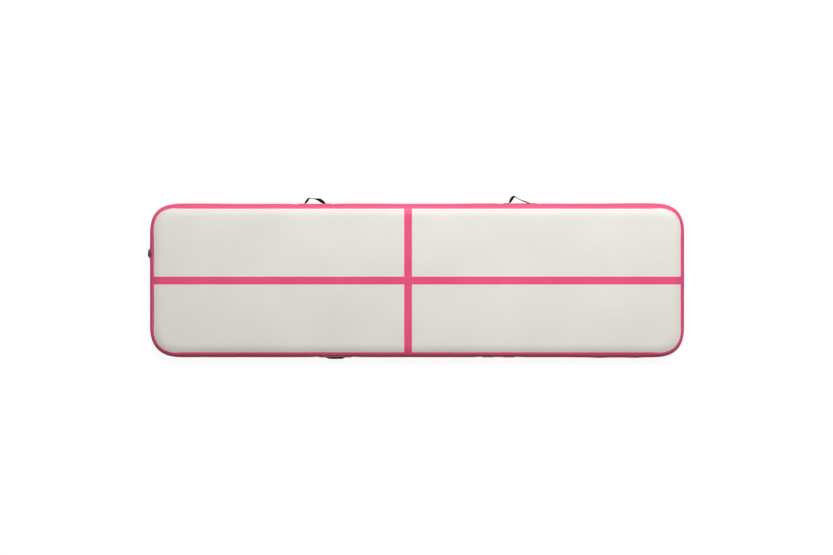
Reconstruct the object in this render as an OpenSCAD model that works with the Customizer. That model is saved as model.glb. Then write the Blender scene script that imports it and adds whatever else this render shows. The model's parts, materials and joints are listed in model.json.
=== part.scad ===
// Air track mat: a long, low inflatable tumbling mat. Two coated face sheets are tied together by
// thousands of yarns, a side wall and a coloured side band close the edge, two tapes cross on top,
// four webbing handles hang on the long sides, and an air valve sits in the left end.
// Frame: +X along the length, +Y towards the far long side, +Z up.
// Origin: the middle of the underside, on the floor.

/* [Mat] */
// Overall length, over the side bulges
mat_length = 3475; // [2400:5:6000]
// Overall width, over the side bulges
mat_width = 1000; // [800:50:1500]
// Inflated thickness, between the two faces
mat_height = 100; // [100:5:150]
// Radius of the corners, seen from above
corner_radius = 164; // [150:2:220]

/* [Sheets, wall and tapes] */
// Thickness of the top and bottom sheets
sheet_t = 1.0; // [0.8:0.1:1.4]
// Thickness of the side wall, and of the band over it
wall_t = 0.9; // [0.6:0.1:1.2]
// How far the coloured band reaches in over each face
band_reach = 31; // [28:1:34]
// Width of the two line tapes on the top
tape_width = 50; // [30:5:80]
// How far the cross tape lies to the right of the middle
cross_tape_x = -58; // [-300:1:300]

/* [Handles] */
// Length of the base patch of each handle
patch_length = 230; // [230:5:280]
// Half the span of a strap's loop
loop_half_span = 68; // [60:1:70]
// Width of the webbing
strap_width = 25; // [20:1:25]
// Thickness of the webbing
strap_t = 2.4; // [1.6:0.2:3]

/* [Valve] */
// Distance of the valve from the middle of the left end, towards the far side
valve_y = 176; // [-200:1:200]
// Outer radius of the valve's cap
cap_radius = 25; // [24:0.5:27]

/* [Hidden] */
// Gap of the glue line between bonded layers
glue = 0.1;
// What the wall and the band add outside the sheets' own outline
skin = 2 * (wall_t + glue);
half_h = mat_height / 2;

// The side's section: a tight arc round the middle, and a wide arc on each shoulder that ends
// level with the flat face. Angles are the outward normal's height above the horizontal.
shoulder_slope = 24;
side_r = 0.4 * mat_height;
shoulder_r = (half_h - side_r * cos(shoulder_slope)) / (1 - cos(shoulder_slope));
shoulder_w = shoulder_r * sin(shoulder_slope) + side_r * (1 - sin(shoulder_slope));
section_angles = concat([for (a = [-90:4:-66]) a], [for (a = [-60:6:60]) a],
                        [for (a = [66:4:90]) a]);
sheet_edge_angle = 48;
wall_edge_angle = 63;
band_edge_angle = acos((shoulder_w + skin - band_reach) / (shoulder_r + skin));

// The flat face's edge, and the straight runs between the corners
flat_x = mat_length / 2 - skin - shoulder_w;
flat_y = mat_width / 2 - skin - shoulder_w;
run_x = mat_length - 2 * corner_radius;
run_y = mat_width - 2 * corner_radius;
corner_flat_r = corner_radius - skin - shoulder_w;

// Line tapes
tape_t = 0.5;
tape_end_angle = band_edge_angle + 0.2;

// Yarns shown between the sheets, out of the thousands that hold them level
yarn_r = 0.8;
yarns_along = 14;
yarns_across = 4;
yarn_margin = 175;
yarn_pitch_x = (mat_length - 2 * yarn_margin) / (yarns_along - 1);
yarn_pitch_y = (mat_width - 2 * yarn_margin) / (yarns_across - 1);

// Handles: layer offsets outside the sheets' outline
patch_t = 0.9;
patch_in = skin + glue;
patch_out = patch_in + patch_t;
patch_half_angle = 62;
patch_corner_r = 24;
end_in = patch_out + glue;
end_out = end_in + strap_t - 0.2;
cover_out = end_out + patch_t + glue;
end_half_angle = asin(strap_width / 2 / (side_r + end_out));
cover_half_angle = 40;
cover_start = loop_half_span + 2;
cover_length = 42;
cover_corner_r = 10;
end_length = 32;
pocket_gap = 0.2;
pocket_end_gap = 3;
pocket_side_angle = 1.2;
// The loop's swing axis, outside the patch, and the room left for the swing
pivot_gap = 2;
patch_r = side_r + patch_out;
pivot_y = mat_width / 2 + patch_out - skin + pivot_gap;
swing_room = 0.6;
loop_power = 2.5;
arch_step = 7.5;
// Each loop: name, side, place along the mat, depth, droop from level, and how far its width is
// tucked in under the mat's bulge
LOOPS = [
    ["far_left", 1, -664, 36, 0, 0],
    ["far_right", 1, 670, 45, 0, 0],
    ["near_left", -1, -531, 45, 90, 8],
    ["near_right", -1, 531, 45, 90, 11],
];

// Valve: distances along its axis are outward from the band's surface
valve_hole_r = 22.2;
valve_patch_length = 112;
valve_patch_half_angle = 58;
valve_patch_corner_r = 26;
saddle_r = 35;
saddle_t = 2;
saddle_in = patch_out + glue;
saddle_half_angle = 60;
collar_r = 26;
collar_depth = 12;
socket_r = 22;
socket_bore_r = 18;
socket_depth = 26;
rim = 3.5;
inside_angle = 80;
inside_depth = 40;
gasket_t = 1;
gasket_r = 24;
flange_r = 25;
flange_top = rim + gasket_t + 1.5;
barrel_r = 17.9;
barrel_bore_r = 14;
barrel_end = -24;
mouth_r = 15;
mouth_floor = 1;
hub_r = 5;
hub_low = -18;
hub_top = -12;
spoke_w = 2.5;
spoke_h = 3;
spoke_low = hub_low + 1.5;
stem_r = 2.5;
stem_fit = 0.05;
stem_press = 0.02;
stem_low = -30.2;
button_r = 6;
button_low = -2;
seal_r = 16.5;
seal_top = -24.05;
seal_low = -26.5;
plate_r = 15;
plate_low = -27.7;
nut_r = 4.6;
nut_low = -29.9;
spring_r = 4.2;
spring_wire_r = 0.45;
spring_turns = 4;
spring_gap = 0.05;
spring_sides = 8;
spring_steps = 20;
cap_low = 6.2;
cap_top = 10.8;
cap_edge_r = 2.4;
cap_crown = 0.8;
cap_roof = 8.8;
plug_r = 14.9;
plug_bore_r = 12;
plug_low = 1.4;
groove_r = 13.2;
groove_low = 2.6;
groove_high = 4.6;
seal_ring_r = 0.85;
seal_ring_gap = 0.05;
cap_flutes = 30;
flute_r = 1.1;
flute_out = 0.5;
leash_ring_r = 27;
leash_low = 3.6;
leash_t = 0.8;
leash_reach = 31;
leash_width = 7;
leash_top = (cap_low + cap_top) / 2;
leash_end = 25.4;

// Colours
IVORY = [0.89, 0.87, 0.82];
PINK = [0.86, 0.30, 0.46];
BLACK = [0.08, 0.08, 0.09];
GREY = [0.30, 0.30, 0.32];

function backwards(list) = [for (i = [len(list) - 1:-1:0]) list[i]];

// A point of the side's section: [distance out from the flat face's edge, height]
function side_point(angle, offset) =
    let (b = abs(angle), s = sign(angle), on_side = b <= 90 - shoulder_slope)
    on_side
        ? [shoulder_w - side_r + (side_r + offset) * cos(b), half_h + s * (side_r + offset) * sin(b)]
        : [(shoulder_r + offset) * cos(b),
           half_h + s * (half_h - shoulder_r + (shoulder_r + offset) * sin(b))];

// The section's angles from one to another, with the ends included
function angles_between(low, high) =
    concat([low], [for (a = section_angles) if (a > low + 0.01 && a < high - 0.01) a], [high]);

function side_curve(low, high, offset) = [for (a = angles_between(low, high)) side_point(a, offset)];

// A layer of the side's section between two angles and two offsets
module side_layer(low, high, inside, outside) {
    polygon(concat(side_curve(low, high, outside), backwards(side_curve(low, high, inside))));
}

// Carries a section round the mat's outline
module around_mat() {
    for (s = [0, 1]) mirror([0, s, 0]) {
        translate([-run_x / 2, flat_y, 0]) rotate([90, 0, 90]) linear_extrude(run_x) children();
    }
    for (s = [0, 1]) mirror([s, 0, 0]) {
        translate([flat_x, run_y / 2, 0]) rotate([90, 0, 0]) linear_extrude(run_y) children();
    }
    for (sx = [0, 1], sy = [0, 1]) mirror([sx, 0, 0]) mirror([0, sy, 0]) {
        translate([run_x / 2, run_y / 2, 0]) rotate_extrude(angle = 90, $fn = 96)
            translate([corner_flat_r, 0]) children();
    }
}

function rounded_corners(length, height, r) =
    [for (c = [[1, 1, 0], [-1, 1, 90], [-1, -1, 180], [1, -1, 270]], a = [0:15:90])
        [c[0] * (length / 2 - r) + r * cos(c[2] + a), c[1] * (height / 2 - r) + r * sin(c[2] + a)]];

// A patch with round corners, bonded round the side's bulge, seen square on from outside
module side_patch(length, half_angle, inside, outside, corner_r) {
    height = 2 * (side_r + outside) * sin(half_angle);
    intersection() {
        translate([-length / 2, flat_y, 0]) rotate([90, 0, 90]) linear_extrude(length)
            side_layer(-half_angle, half_angle, inside, outside);
        translate([0, mat_width, half_h]) rotate([90, 0, 0]) linear_extrude(mat_width)
            polygon(rounded_corners(length, height, corner_r));
    }
}

// ---- Faces, wall and tapes ----

module face_sheet() {
    around_mat() polygon(concat(
        [[-corner_flat_r, mat_height]], backwards(side_curve(sheet_edge_angle, 90, 0)),
        side_curve(sheet_edge_angle, 90, -sheet_t), [[-corner_flat_r, mat_height - sheet_t]]));
    translate([-run_x / 2, -run_y / 2, mat_height - sheet_t]) cube([run_x, run_y, sheet_t]);
}

module top_sheet() color(IVORY) face_sheet();

module bottom_sheet() color(IVORY) translate([0, 0, mat_height]) mirror([0, 0, 1]) face_sheet();

module drop_threads() color("white") {
    for (i = [0:yarns_along - 1], j = [0:yarns_across - 1])
        translate([yarn_margin - mat_length / 2 + i * yarn_pitch_x,
                   yarn_margin - mat_width / 2 + j * yarn_pitch_y, sheet_t])
            cylinder(r = yarn_r, h = mat_height - 2 * sheet_t, $fn = 24);
}

module valve_hole() {
    at_valve() translate([0, 0, -socket_depth]) cylinder(r = valve_hole_r, h = 2 * socket_depth, $fn = 64);
}

module inner_wall() color(IVORY) difference() {
    around_mat() side_layer(-wall_edge_angle, wall_edge_angle, glue, glue + wall_t);
    valve_hole();
}

module outer_band() color(PINK) difference() {
    around_mat() side_layer(-band_edge_angle, band_edge_angle, skin - wall_t, skin);
    valve_hole();
}

// A tape across the whole top, whose section follows the shoulders at both ends. lift raises its
// middle over another tape.
module tape(half_flat, lift) {
    step = tape_width / 2 + 1;
    function half(offset) = concat(
        [for (p = side_curve(tape_end_angle, 90, offset)) [half_flat + p[0], p[1]]],
        lift > 0 ? [[step, mat_height + offset], [step - lift, mat_height + offset + lift]] : []);
    function whole(offset) = concat(half(offset), [for (p = backwards(half(offset))) [-p[0], p[1]]]);
    rotate([90, 0, 0]) translate([0, 0, -tape_width / 2]) linear_extrude(tape_width)
        polygon(concat(whole(glue + tape_t), backwards(whole(glue))));
}

module stripe_length() color(PINK) tape(flat_x, 0);

module stripe_cross() color(PINK)
    translate([cross_tape_x, 0, 0]) rotate([0, 0, 90]) tape(flat_y, tape_t + glue);

// ---- Handles ----

// One strap's side of the mat, at its place along it
module at_handle(l) {
    translate([l[2], 0, 0]) mirror([0, l[1] < 0 ? 1 : 0, 0]) children();
}

module handle_patch(l) color(PINK) at_handle(l)
    side_patch(patch_length, patch_half_angle, patch_in, patch_out, patch_corner_r);

// The strap's sewn ends, flat on the patch
module strap_ends(l) color(BLACK) at_handle(l) for (s = [-1, 1])
    translate([s * (cover_start + 1 + end_length / 2) - end_length / 2, flat_y, 0])
        rotate([90, 0, 90]) linear_extrude(end_length)
            side_layer(-end_half_angle, end_half_angle, end_in, end_out);

// The two small patches over the strap's ends, each with a pocket open towards the loop
module strap_covers(l) color(PINK) at_handle(l) for (s = [0, 1]) mirror([s, 0, 0]) difference() {
    translate([cover_start + cover_length / 2, 0, 0])
        side_patch(cover_length, cover_half_angle, end_in, cover_out, cover_corner_r);
    translate([cover_start - 1, flat_y, 0]) rotate([90, 0, 90])
        linear_extrude(end_length + pocket_end_gap)
            side_layer(-end_half_angle - pocket_side_angle, end_half_angle + pocket_side_angle,
                       end_in - pocket_gap, end_out + glue);
}

// The loop's outline, grown by offset: a flat-topped arch
function arch(depth, offset) = [for (t = [0:arch_step:180])
    [(loop_half_span + offset) * sign(cos(t)) * pow(abs(cos(t)), 2 / loop_power),
     (depth + offset) * pow(sin(t), 2 / loop_power)]];

// The free loop of the strap. It narrows towards its roots, where it clears the mat's bulge when
// it hangs and when it stands up.
module strap_loop(l) color(BLACK) at_handle(l) translate([0, pivot_y, half_h]) rotate([-l[4], 0, 0])
    difference() {
        translate([0, 0, -strap_width / 2 - l[5]]) linear_extrude(strap_width)
            polygon(concat(arch(l[3], strap_t / 2), backwards(arch(l[3], -strap_t / 2))));
        for (s = [-1, 1]) translate([-loop_half_span - 5, 0, s * (patch_r + pivot_gap)])
            rotate([0, 90, 0]) cylinder(r = patch_r + swing_room, h = 2 * loop_half_span + 10, $fn = 96);
    }

// ---- Valve ----

// The valve's own frame: +Z runs outward along its axis, and +X points up
module at_valve() {
    translate([-mat_length / 2, valve_y, half_h]) rotate([0, -90, 0]) children();
}

// Brings what is made on a long side round to the left end, at the valve
module on_left_end() {
    translate([mat_width / 2 - mat_length / 2, valve_y, 0]) rotate([0, 0, 90]) children();
}

module valve_patch() color(PINK) difference() {
    on_left_end() side_patch(valve_patch_length, valve_patch_half_angle, patch_in, patch_out,
                             valve_patch_corner_r);
    valve_hole();
}

// Everything inside the patch's outer surface, near the valve
module inside_wall() {
    corner = side_point(inside_angle, saddle_in);
    on_left_end() translate([-2 * collar_r, flat_y, 0]) rotate([90, 0, 90])
        linear_extrude(4 * collar_r)
            polygon(concat(side_curve(-inside_angle, inside_angle, saddle_in),
                           [[-inside_depth, corner[1]], [-inside_depth, mat_height - corner[1]]]));
}

// Moulded base: a saddle welded round the bulge, a collar that brings it out flat, and a socket
module valve_base() color(GREY) difference() {
    union() {
        intersection() {
            on_left_end() translate([-saddle_r, flat_y, 0]) rotate([90, 0, 90])
                linear_extrude(2 * saddle_r)
                    side_layer(-saddle_half_angle, saddle_half_angle, saddle_in, saddle_in + saddle_t);
            at_valve() translate([0, 0, -saddle_r]) cylinder(r = saddle_r, h = 2 * saddle_r, $fn = 96);
        }
        difference() {
            at_valve() translate([0, 0, -collar_depth])
                cylinder(r = collar_r, h = collar_depth + rim, $fn = 96);
            inside_wall();
        }
        at_valve() translate([0, 0, -socket_depth])
            cylinder(r = socket_r, h = socket_depth + rim, $fn = 96);
    }
    at_valve() translate([0, 0, -socket_depth - 1])
        cylinder(r = socket_bore_r, h = socket_depth + rim + 2, $fn = 96);
}

// A ring in the valve's frame
module ring(inner_r, outer_r, low, high) {
    rotate_extrude($fn = 96) translate([inner_r, low]) square([outer_r - inner_r, high - low]);
}

module valve_gasket() color(BLACK) at_valve() ring(socket_bore_r + 0.2, gasket_r, rim, rim + gasket_t);

// Barrel with its flange and mouth, and a three-spoked hub that guides the stem
module valve_body() color(GREY) at_valve() {
    rotate_extrude($fn = 96) polygon([
        [barrel_bore_r, barrel_end], [barrel_r, barrel_end], [barrel_r, rim + gasket_t],
        [flange_r, rim + gasket_t], [flange_r, flange_top], [mouth_r, flange_top],
        [mouth_r, mouth_floor], [barrel_bore_r, mouth_floor]]);
    ring(stem_r + stem_fit, hub_r, hub_low, hub_top);
    for (a = [60:120:300]) rotate([0, 0, a]) translate([hub_r - 1, -spoke_w / 2, spoke_low])
        cube([barrel_bore_r - hub_r + 2, spoke_w, spoke_h]);
}

// Return spring round the stem, a round wire swept along a helix
module valve_spring() {
    low = hub_top + spring_wire_r + spring_gap;
    high = button_low - spring_wire_r - spring_gap;
    rings = spring_turns * spring_steps;
    slope = atan2(high - low, 360 * spring_turns * spring_r * PI / 180);
    function wire_point(i, k) =
        let (t = 360 * i / spring_steps, a = 360 * k / spring_sides,
             out = spring_wire_r * cos(a), up = spring_wire_r * sin(a))
        [(spring_r + out) * cos(t) + up * sin(slope) * sin(t),
         (spring_r + out) * sin(t) - up * sin(slope) * cos(t),
         low + (high - low) * i / rings + up * cos(slope)];
    color("silver") at_valve() polyhedron(
        points = [for (i = [0:rings], k = [0:spring_sides - 1]) wire_point(i, k)],
        faces = concat(
            [[for (k = [0:spring_sides - 1]) k]],
            [for (i = [0:rings - 1], k = [0:spring_sides - 1])
                let (a = i * spring_sides, b = a + spring_sides, n = (k + 1) % spring_sides)
                [a + k, b + k, b + n, a + n]],
            [[for (k = [spring_sides - 1:-1:0]) rings * spring_sides + k]]));
}

module valve_stem() color("silver") at_valve()
    translate([0, 0, stem_low]) cylinder(r = stem_r, h = button_low + 1 - stem_low, $fn = 48);

module valve_button() color(GREY) at_valve() difference() {
    translate([0, 0, button_low]) cylinder(r = button_r, h = -button_low, $fn = 64);
    translate([0, 0, button_low - 1]) cylinder(r = stem_r + stem_press, h = 2, $fn = 48);
}

module valve_seal_disc() color(BLACK) at_valve() ring(stem_r + stem_press, seal_r, seal_low, seal_top);

module valve_disc_plate() color(GREY) at_valve() ring(stem_r + stem_press, plate_r, plate_low, seal_low);

module valve_disc_nut() color("silver") at_valve() difference() {
    translate([0, 0, nut_low]) cylinder(r = nut_r, h = plate_low - nut_low, $fn = 6);
    translate([0, 0, nut_low - 1]) cylinder(r = stem_r + stem_press, h = plate_low - nut_low + 2, $fn = 48);
}

// Screw cap: a low dome with a fluted rim, and a hollow plug with a groove for its seal
module valve_cap() color(GREY) at_valve() difference() {
    union() {
        rotate_extrude($fn = 96) polygon(concat(
            [[0, cap_low], [cap_radius, cap_low]],
            [for (a = [0:15:90]) [cap_radius - cap_edge_r * (1 - cos(a)),
                                  cap_top - cap_crown - cap_edge_r * (1 - sin(a))]],
            [[0, cap_top]]));
        ring(plug_bore_r, plug_r, plug_low, cap_low + 0.5);
    }
    translate([0, 0, plug_low - 1]) cylinder(r = plug_bore_r, h = cap_roof - plug_low + 1, $fn = 96);
    ring(groove_r, plug_r + 1, groove_low, groove_high);
    for (i = [0:cap_flutes - 1]) rotate([0, 0, i * 360 / cap_flutes])
        translate([cap_radius + flute_out, 0, cap_low - 1]) cylinder(r = flute_r, h = cap_top, $fn = 24);
}

module valve_cap_seal() color(BLACK) at_valve()
    translate([0, 0, (groove_low + groove_high) / 2]) rotate_extrude($fn = 96)
        translate([groove_r + seal_ring_gap + seal_ring_r, 0]) circle(r = seal_ring_r, $fn = 32);

// Flat moulded leash: a ring that turns under the flange, and a bent tongue up to the cap's rim
module valve_leash() color(BLACK) at_valve() {
    ring(gasket_r + 0.4, leash_ring_r, leash_low, leash_low + leash_t);
    translate([-leash_reach, -leash_width / 2, leash_low])
        cube([leash_reach - leash_ring_r + 1, leash_width, leash_t]);
    translate([-leash_reach, -leash_width / 2, leash_low])
        cube([leash_t, leash_width, leash_top - leash_low]);
    translate([-leash_reach, -leash_width / 2, leash_top - leash_t])
        cube([leash_reach - leash_end, leash_width, leash_t]);
}

top_sheet();
bottom_sheet();
drop_threads();
inner_wall();
outer_band();
stripe_length();
stripe_cross();
for (l = LOOPS) {
    handle_patch(l);
    strap_covers(l);
    strap_ends(l);
    strap_loop(l);
}
valve_patch();
valve_base();
valve_gasket();
valve_body();
valve_spring();
valve_stem();
valve_button();
valve_seal_disc();
valve_disc_plate();
valve_disc_nut();
valve_cap();
valve_cap_seal();
valve_leash();
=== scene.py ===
"""Air track mat: its inflated shell, line tapes, patches and webbing handles.

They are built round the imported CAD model. Its valve parts stay, but for the return spring, and only get
finishes.
"""

import json
import math

import bmesh
import bpy
import numpy as np
from mathutils import Matrix, Vector
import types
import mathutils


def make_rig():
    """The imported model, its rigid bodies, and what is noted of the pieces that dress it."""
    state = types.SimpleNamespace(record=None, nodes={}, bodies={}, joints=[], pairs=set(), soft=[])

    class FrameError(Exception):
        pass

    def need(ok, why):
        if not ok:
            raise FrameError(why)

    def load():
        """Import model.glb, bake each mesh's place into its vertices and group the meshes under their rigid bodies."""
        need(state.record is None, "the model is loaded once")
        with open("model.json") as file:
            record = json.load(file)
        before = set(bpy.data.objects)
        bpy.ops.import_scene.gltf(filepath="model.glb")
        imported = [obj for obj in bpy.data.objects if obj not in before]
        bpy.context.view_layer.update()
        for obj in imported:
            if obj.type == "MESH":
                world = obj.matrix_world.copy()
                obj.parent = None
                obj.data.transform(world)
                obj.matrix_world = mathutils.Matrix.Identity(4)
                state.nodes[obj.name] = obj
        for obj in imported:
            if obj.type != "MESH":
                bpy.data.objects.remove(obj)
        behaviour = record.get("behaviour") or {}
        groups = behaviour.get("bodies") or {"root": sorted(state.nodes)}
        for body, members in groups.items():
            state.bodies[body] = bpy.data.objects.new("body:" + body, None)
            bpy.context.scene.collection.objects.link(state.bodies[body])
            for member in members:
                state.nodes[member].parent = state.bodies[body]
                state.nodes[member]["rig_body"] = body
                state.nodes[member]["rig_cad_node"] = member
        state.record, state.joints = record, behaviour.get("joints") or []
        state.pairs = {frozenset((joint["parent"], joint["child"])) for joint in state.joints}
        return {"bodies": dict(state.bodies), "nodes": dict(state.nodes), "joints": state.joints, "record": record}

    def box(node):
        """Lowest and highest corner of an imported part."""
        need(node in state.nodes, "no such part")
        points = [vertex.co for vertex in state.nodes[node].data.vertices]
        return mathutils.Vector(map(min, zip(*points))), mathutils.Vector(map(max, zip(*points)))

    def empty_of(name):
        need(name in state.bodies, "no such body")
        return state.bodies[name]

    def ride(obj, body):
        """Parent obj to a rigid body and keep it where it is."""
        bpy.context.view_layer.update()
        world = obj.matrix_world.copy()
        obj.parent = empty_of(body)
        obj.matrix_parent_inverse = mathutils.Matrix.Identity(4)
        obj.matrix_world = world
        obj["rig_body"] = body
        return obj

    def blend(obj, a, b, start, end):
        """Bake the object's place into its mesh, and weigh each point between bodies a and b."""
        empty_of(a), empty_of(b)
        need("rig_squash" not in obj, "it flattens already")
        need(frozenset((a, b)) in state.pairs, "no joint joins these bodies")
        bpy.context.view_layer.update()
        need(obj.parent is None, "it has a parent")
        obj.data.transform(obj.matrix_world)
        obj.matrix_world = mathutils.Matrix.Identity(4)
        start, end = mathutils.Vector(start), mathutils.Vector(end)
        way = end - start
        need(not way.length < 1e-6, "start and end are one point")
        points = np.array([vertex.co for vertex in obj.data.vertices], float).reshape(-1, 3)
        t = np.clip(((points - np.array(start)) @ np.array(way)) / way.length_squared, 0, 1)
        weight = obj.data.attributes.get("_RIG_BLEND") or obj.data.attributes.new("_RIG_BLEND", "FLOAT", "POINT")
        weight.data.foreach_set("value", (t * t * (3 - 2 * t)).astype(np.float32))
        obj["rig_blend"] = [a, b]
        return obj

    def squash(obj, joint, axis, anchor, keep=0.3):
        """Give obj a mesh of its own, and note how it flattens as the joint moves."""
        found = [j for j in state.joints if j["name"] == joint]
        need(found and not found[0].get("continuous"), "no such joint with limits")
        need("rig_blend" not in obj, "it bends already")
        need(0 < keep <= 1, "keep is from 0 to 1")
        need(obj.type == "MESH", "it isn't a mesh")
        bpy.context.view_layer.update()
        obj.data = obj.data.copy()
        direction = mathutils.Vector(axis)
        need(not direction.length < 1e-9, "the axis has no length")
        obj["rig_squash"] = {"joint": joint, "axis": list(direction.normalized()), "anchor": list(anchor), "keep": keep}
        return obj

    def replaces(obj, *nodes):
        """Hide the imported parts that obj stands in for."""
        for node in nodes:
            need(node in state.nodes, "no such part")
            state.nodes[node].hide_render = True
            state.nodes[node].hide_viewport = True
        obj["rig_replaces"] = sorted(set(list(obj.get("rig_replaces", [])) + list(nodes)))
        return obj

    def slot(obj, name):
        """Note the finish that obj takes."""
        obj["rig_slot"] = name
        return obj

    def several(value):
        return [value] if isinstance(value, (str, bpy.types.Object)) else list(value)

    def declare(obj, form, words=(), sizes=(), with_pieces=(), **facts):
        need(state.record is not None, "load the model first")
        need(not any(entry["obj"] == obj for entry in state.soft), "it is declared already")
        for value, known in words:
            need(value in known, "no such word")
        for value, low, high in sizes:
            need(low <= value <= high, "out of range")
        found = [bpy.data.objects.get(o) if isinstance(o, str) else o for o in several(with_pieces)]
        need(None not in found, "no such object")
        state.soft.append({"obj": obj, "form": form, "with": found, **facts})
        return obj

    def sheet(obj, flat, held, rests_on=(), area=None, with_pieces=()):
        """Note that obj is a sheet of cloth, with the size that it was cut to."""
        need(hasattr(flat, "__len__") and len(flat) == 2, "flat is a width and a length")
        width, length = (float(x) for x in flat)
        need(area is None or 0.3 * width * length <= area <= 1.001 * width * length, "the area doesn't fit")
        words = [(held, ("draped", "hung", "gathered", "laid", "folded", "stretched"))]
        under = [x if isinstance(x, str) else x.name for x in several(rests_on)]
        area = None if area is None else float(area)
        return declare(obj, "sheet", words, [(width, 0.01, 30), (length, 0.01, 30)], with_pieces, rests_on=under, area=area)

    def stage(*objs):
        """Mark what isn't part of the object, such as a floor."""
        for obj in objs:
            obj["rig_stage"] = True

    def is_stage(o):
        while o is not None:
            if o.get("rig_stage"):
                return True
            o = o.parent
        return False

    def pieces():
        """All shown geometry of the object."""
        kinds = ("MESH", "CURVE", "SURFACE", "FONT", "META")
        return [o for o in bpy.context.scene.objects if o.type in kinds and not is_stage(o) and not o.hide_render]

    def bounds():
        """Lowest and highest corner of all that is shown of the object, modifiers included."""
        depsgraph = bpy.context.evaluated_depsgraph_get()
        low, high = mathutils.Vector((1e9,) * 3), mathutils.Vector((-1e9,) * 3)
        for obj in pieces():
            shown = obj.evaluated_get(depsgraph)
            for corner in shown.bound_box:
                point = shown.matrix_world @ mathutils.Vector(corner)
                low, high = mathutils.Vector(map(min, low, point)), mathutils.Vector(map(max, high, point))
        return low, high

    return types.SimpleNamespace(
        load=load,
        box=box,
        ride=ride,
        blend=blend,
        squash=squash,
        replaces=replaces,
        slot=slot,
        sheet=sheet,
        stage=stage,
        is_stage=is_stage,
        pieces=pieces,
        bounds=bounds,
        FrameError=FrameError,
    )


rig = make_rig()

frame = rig.load()
cad_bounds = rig.bounds()

# ---- Sizes in metres. What the frame holds is read from it, and the layers repeat the CAD's. ----

HALF_LENGTH, HALF_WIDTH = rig.box("outer_band")[1][0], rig.box("outer_band")[1][1]
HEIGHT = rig.box("top_sheet")[1][2]
MIDDLE = HEIGHT / 2
SHEET_T = 0.001
WALL_T = 0.0009
GLUE = 0.0001
SKIN = 2 * (WALL_T + GLUE)
TAPE_T = 0.0005
TAPE_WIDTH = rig.box("stripe_length")[1][1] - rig.box("stripe_length")[0][1]
CROSS_TAPE_X = (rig.box("stripe_cross")[0][0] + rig.box("stripe_cross")[1][0]) / 2
PATCH_T = 0.0009
PATCH_IN = SKIN + GLUE
PATCH_OUT = PATCH_IN + PATCH_T
STRAP_WIDTH = 0.025
STRAP_T = 0.0022
STRAP_LIFT = PATCH_OUT + GLUE + STRAP_T / 2

# The side's section, as in the CAD: a tight arc round the middle and a wide arc on each shoulder
SLOPE = math.radians(24)
SIDE_R = 0.4 * HEIGHT
SHOULDER_R = (MIDDLE - SIDE_R * math.cos(SLOPE)) / (1 - math.cos(SLOPE))
SHOULDER_W = SHOULDER_R * math.sin(SLOPE) + SIDE_R * (1 - math.sin(SLOPE))
FLAT_X = HALF_LENGTH - SKIN - SHOULDER_W
FLAT_Y = HALF_WIDTH - SKIN - SHOULDER_W
SHEET_EDGE = math.radians(48)
WALL_EDGE = math.radians(63)
BAND_BODY = math.radians(59)
BAND_STEP = math.radians(62)
BAND_EDGE = math.radians(69)
STEP_TURN = math.radians(2.6)
TAPE_GAP = math.radians(0.15)
TOP_STARTS = math.radians(62)

# The band's real edge on each end and on the long sides, and how far it slips down at the corners
RIGHT_END_EDGE, LEFT_END_EDGE, LONG_SIDE_EDGE = math.radians(67.6), math.radians(69.0), math.radians(69.6)
CORNER_SLIP = math.radians(1.7)

# The corners, seen from above, are squarer than a circle, the near left one least: from the far right
# one, anticlockwise
CORNER = 0.228
CORNER_POWERS = (3.0, 3.0, 2.75, 2.9)

# The handles' places along the mat and their sides, how far the shell is drawn in under their patches,
# and how much further under the covers over their strap ends
HANDLES = {}
for name in ("far_left", "far_right", "near_left", "near_right"):
    low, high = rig.box("handle_patch_" + name)
    HANDLES[name] = ((low[0] + high[0]) / 2, 1 if low[1] > 0 else -1)
DENT = 0.0018
COVER_DENT = 0.0014
# Where the side bulges a little more: the place along the mat, the side, the reach and the size
SWELLS = [
    (-1.43, 1, 0.16, 0.0022), (1.45, 1, 0.25, 0.0038), (1.28, -1, 0.22, 0.0020), (1.185, -1, 0.040, 0.0026),
    (1.415, -1, 0.040, 0.0026), (0.62, 1, 0.32, 0.0036), (-0.38, 1, 0.20, 0.0020)]
PUCKER = 0.0007
WAVE = 0.0003

VALVE_Y = (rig.box("valve_cap")[0][1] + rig.box("valve_cap")[1][1]) / 2
VALVE_HOLE_R = 0.0222
HOLE_SIDES = 96
HOLE_DEPTH = 0.1

# Edges that turn by more degrees than this are shaded sharp
CLOTH_CREASE = 35
STRAP_CREASE = 60
STITCH_CREASE = 80

IVORY = (0.700, 0.672, 0.622)
PINK = (0.735, 0.070, 0.186)
BLACK = (0.008, 0.008, 0.009)
GREY = (0.085, 0.087, 0.095)


# ---- Materials ----

def new_material(name, colour, roughness, **settings):
    """A Principled material, a maker of nodes for it, and a maker of links to its shader."""
    material = bpy.data.materials.new(name)
    material.use_nodes = True
    tree = material.node_tree
    shader = tree.nodes["Principled BSDF"]
    shader.inputs["Base Color"].default_value = (*colour, 1)
    shader.inputs["Roughness"].default_value = roughness
    for socket, value in settings.items():
        shader.inputs[socket.replace("_", " ")].default_value = value

    def node(kind, *inputs, **fields):
        made = tree.nodes.new("ShaderNode" + kind)
        for field, value in fields.items():
            setattr(made, field, value)
        for socket, value in zip(made.inputs, inputs):
            if isinstance(value, bpy.types.NodeSocket):
                tree.links.new(value, socket)
            elif value is not None:
                socket.default_value = value
        return made.outputs[0]

    def link(value, socket):
        tree.links.new(value, shader.inputs[socket])

    return material, node, link


def math_node(node, operation, *inputs):
    return node("Math", *inputs, operation=operation)


def position(node):
    """The point in the object's own frame, which is the part's frame here."""
    coordinates = node("TexCoord")
    return coordinates.node.outputs["Object"]


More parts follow.
